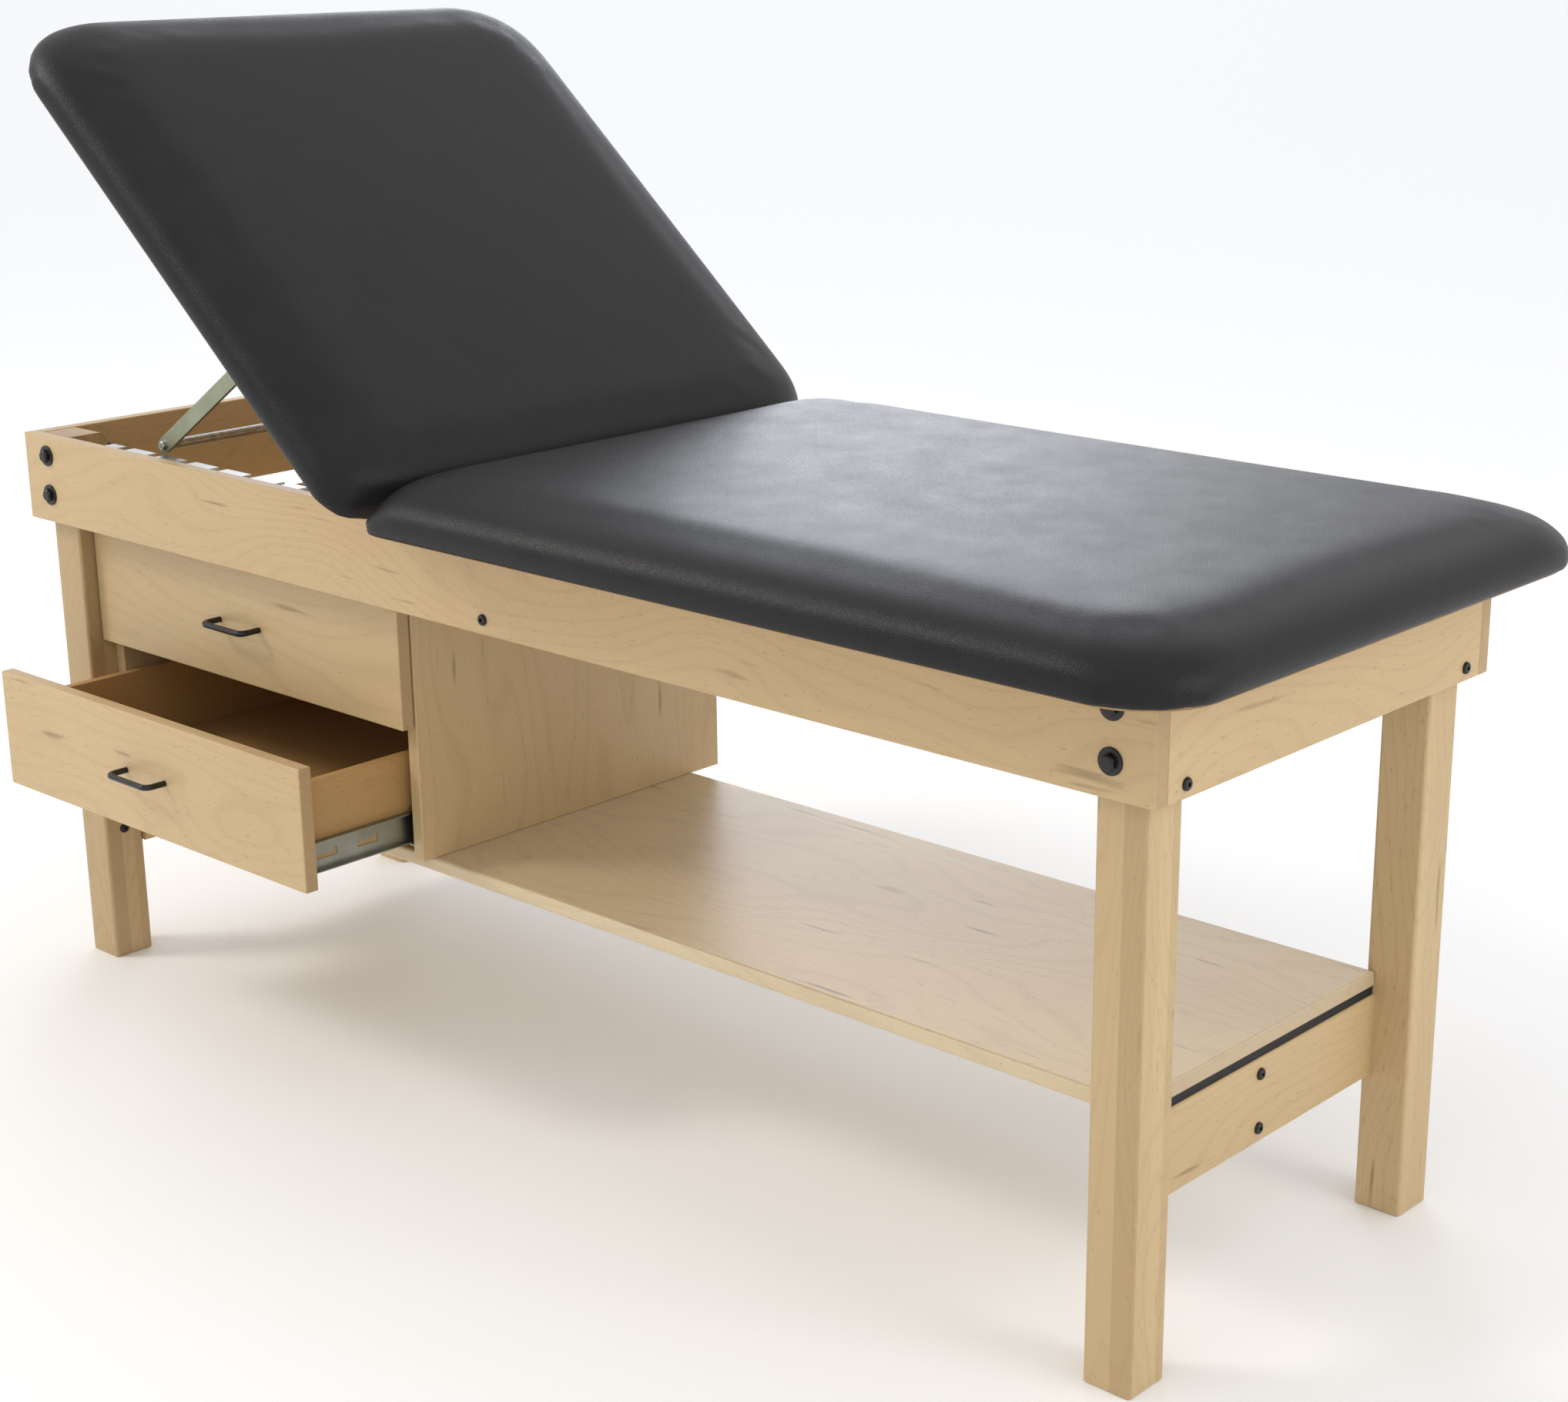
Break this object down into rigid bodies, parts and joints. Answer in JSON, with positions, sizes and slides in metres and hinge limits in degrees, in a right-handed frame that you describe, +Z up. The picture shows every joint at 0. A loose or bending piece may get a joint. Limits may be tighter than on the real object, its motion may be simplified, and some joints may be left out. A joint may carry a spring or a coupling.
{
  "type": "medical exam table",
  "caption": "Wooden treatment table with padded top, lift-up back section on a rack, two pull-out drawers and an open shelf.",
  "frame": {"origin": "middle of the floor area under the table as it stands, with the back raised and the lower drawer part open", "axes": "+X to the foot end, -Y to the drawer side, +Z up"},
  "size_m": [1.8912, 0.8304, 1.2628],
  "materials": {
    "maple": "clear satin lacquer on hard maple",
    "drawer_ply": "clear lacquered birch plywood",
    "pad_ply": "bare plywood",
    "vinyl": "satin black upholstery vinyl with a fine grain",
    "black_steel": "black oxide",
    "handle_black": "black powder coat",
    "zinc": "bright zinc plate",
    "black_plastic": "moulded",
    "black_rubber": "matte"
  },
  "bodies": {
    "frame": {"side_rail_front": "maple", "side_rail_back": "maple", "end_rail_head": "maple", "end_rail_foot": "maple", "centre_rail": "maple", "leg_head_front": "maple", "leg_head_back": "maple", "leg_foot_front": "maple", "leg_foot_back": "maple", "corner_washers": "black_steel", "corner_bolts": "black_steel", "corner_nuts": "black_steel", "button_bolts": "black_steel", "barrel_nuts": "zinc", "shelf": "maple", "stretcher_head": "maple", "stretcher_foot": "maple", "stretcher_spacers": "black_rubber", "stretcher_beam": "maple", "cabinet_side_head": "maple", "cabinet_side_foot": "maple", "cabinet_back": "maple", "cabinet_top_rails": "maple", "upper_slide_cabinet_members": "zinc", "upper_slide_ball_cages": "black_plastic", "lower_slide_cabinet_members": "zinc", "lower_slide_ball_cages": "black_plastic", "seat_board": "pad_ply", "seat_cushion": "vinyl", "pivot_plates": "zinc", "pivot_pins": "zinc", "rack_front": "zinc", "rack_back": "zinc", "rack_screws": "zinc"},
    "backrest": {"back_board": "pad_ply", "back_cushion": "vinyl", "back_pivot_plates": "zinc", "strut_brackets": "zinc", "strut_pivot_pins": "zinc"},
    "strut": {"strut_bars": "zinc", "strut_rod": "zinc"},
    "upper_drawer": {"upper_drawer_front": "maple", "upper_drawer_sides": "drawer_ply", "upper_drawer_back": "drawer_ply", "upper_drawer_bottom": "drawer_ply", "upper_handle": "handle_black", "upper_handle_screws": "zinc", "upper_slide_drawer_members": "zinc"},
    "lower_drawer": {"lower_drawer_front": "maple", "lower_drawer_sides": "drawer_ply", "lower_drawer_back": "drawer_ply", "lower_drawer_bottom": "drawer_ply", "lower_handle": "handle_black", "lower_handle_screws": "zinc", "lower_slide_drawer_members": "zinc"}
  },
  "joints": [
    {"name": "back_lift", "type": "hinge", "parent": "frame", "child": "backrest", "pos_m": [-0.16825, 0.0272, 0.7485], "axis": [0, 1, 0], "range_deg": [-40.5, 24.5]},
    {"name": "strut_swing", "type": "hinge", "parent": "backrest", "child": "strut", "pos_m": [-0.41984, 0.0272, 0.91604], "axis": [0, 1, 0], "range_deg": [-44.84, 74.12]},
    {"name": "upper_drawer_slide", "type": "slide", "parent": "frame", "child": "upper_drawer", "axis": [0, -1, 0], "range_m": [0, 0.34]},
    {"name": "lower_drawer_slide", "type": "slide", "parent": "frame", "child": "lower_drawer", "axis": [0, -1, 0], "range_m": [-0.153, 0.187]}
  ],
  "couplings": [
    {"joint": "strut_swing", "follows": "back_lift", "ratio": -1.83}
  ]
}
